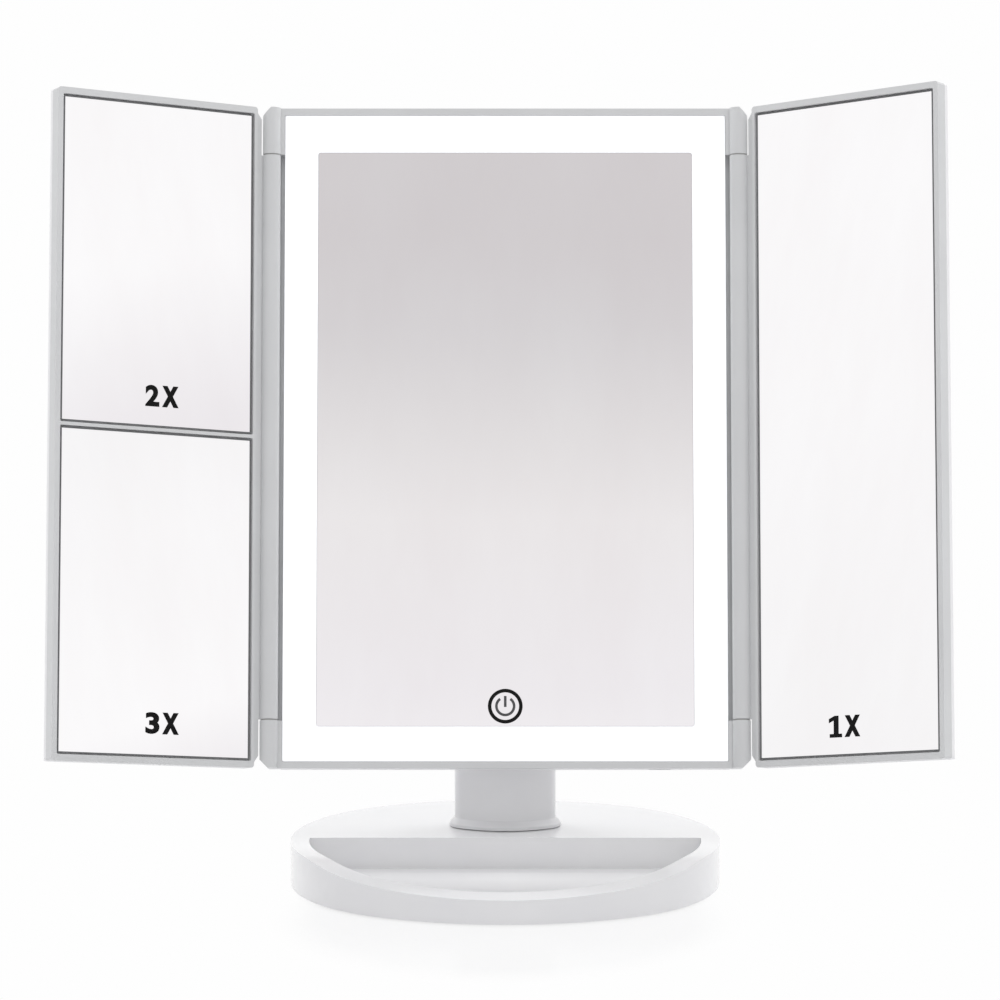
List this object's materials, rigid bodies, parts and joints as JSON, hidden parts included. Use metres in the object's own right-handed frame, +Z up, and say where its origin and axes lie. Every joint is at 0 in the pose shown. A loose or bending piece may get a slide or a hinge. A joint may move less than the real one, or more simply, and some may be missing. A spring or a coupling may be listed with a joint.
{
  "type": "trifold vanity mirror",
  "caption": "Tabletop trifold vanity mirror with a lit rectangular centre panel, folding side wings, a tilting head and an oval tray base.",
  "frame": {"origin": "centre of the oval base's underside, on the table", "axes": "+X to the viewer's right, +Y away from the viewer, +Z up; the viewer stands at -Y"},
  "size_m": [0.3218, 0.1358, 0.2906],
  "materials": {
    "frame_plastic": "satin",
    "shell_plastic": "satin",
    "stand_plastic": "satin",
    "base_plastic": "gloss",
    "frosted_acrylic": "matte",
    "mirror_glass": "polished",
    "circuit_board": "satin",
    "led_package": "satin",
    "copper_pad": "satin",
    "plated_steel": "satin",
    "black_plastic": "matte",
    "cell_sleeve": "satin",
    "foam": "matte",
    "nylon": "satin",
    "ballast_steel": "satin",
    "pad_rubber": "matte"
  },
  "bodies": {
    "base": {"base_top": "base_plastic", "base_bottom": "base_plastic", "ballast_plate": "ballast_steel", "anti_slip_pad": "pad_rubber", "base_screws": "plated_steel", "neck": "stand_plastic", "neck_screws": "plated_steel", "tilt_washer_left": "nylon", "tilt_washer_right": "nylon"},
    "head": {"head_frame": "frame_plastic", "head_back_shell": "shell_plastic", "light_panel": "frosted_acrylic", "centre_mirror": "mirror_glass", "led_board": "circuit_board", "led_chips": "led_package", "touch_sensor": "copper_pad", "control_board": "circuit_board", "usb_inlet": "plated_steel", "switch_body": "plated_steel", "tilt_bracket": "shell_plastic", "bracket_screws": "plated_steel", "battery_box": "shell_plastic", "battery_contacts": "plated_steel", "battery_1": "cell_sleeve", "battery_2": "cell_sleeve", "battery_3": "cell_sleeve", "battery_4": "cell_sleeve", "head_screws": "plated_steel", "hinge_pin_left_top": "plated_steel", "hinge_pin_left_bottom": "plated_steel", "hinge_pin_right_top": "plated_steel", "hinge_pin_right_bottom": "plated_steel", "hinge_washers": "nylon", "tilt_shaft": "plated_steel", "tilt_nut": "plated_steel", "tilt_cap_left": "stand_plastic", "tilt_cap_right": "stand_plastic"},
    "left_wing": {"left_wing_frame": "frame_plastic", "left_wing_back": "shell_plastic", "mirror_2x": "mirror_glass", "mirror_3x": "mirror_glass", "upper_foam_pad": "foam", "lower_foam_pad": "foam"},
    "right_wing": {"right_wing_frame": "frame_plastic", "right_wing_back": "shell_plastic", "mirror_1x": "mirror_glass", "right_foam_pad": "foam"},
    "battery_door": {"battery_door": "shell_plastic"},
    "switch_slider": {"switch_slider": "black_plastic"}
  },
  "joints": [
    {"name": "head_tilt", "type": "hinge", "parent": "base", "child": "head", "pos_m": [0, 0.022, 0.0646], "axis": [-1, 0, 0], "range_deg": [-16.8, 18.2]},
    {"name": "left_wing_fold", "type": "hinge", "parent": "head", "child": "left_wing", "pos_m": [-0.0855, 0.02686, 0.15923], "axis": [0, 0.289, 0.9573], "range_deg": [-29, 151]},
    {"name": "right_wing_fold", "type": "hinge", "parent": "head", "child": "right_wing", "pos_m": [0.0855, 0.02686, 0.15923], "axis": [0, -0.289, -0.9573], "range_deg": [-36.5, 143.5]},
    {"name": "battery_door_hinge", "type": "hinge", "parent": "head", "child": "battery_door", "pos_m": [0, 0.03158, 0.09148], "axis": [-1, 0, 0], "range_deg": [0, 80]},
    {"name": "power_switch_slide", "type": "slide", "parent": "head", "child": "switch_slider", "axis": [1, 0, 0], "range_m": [-0.004, 0]}
  ]
}
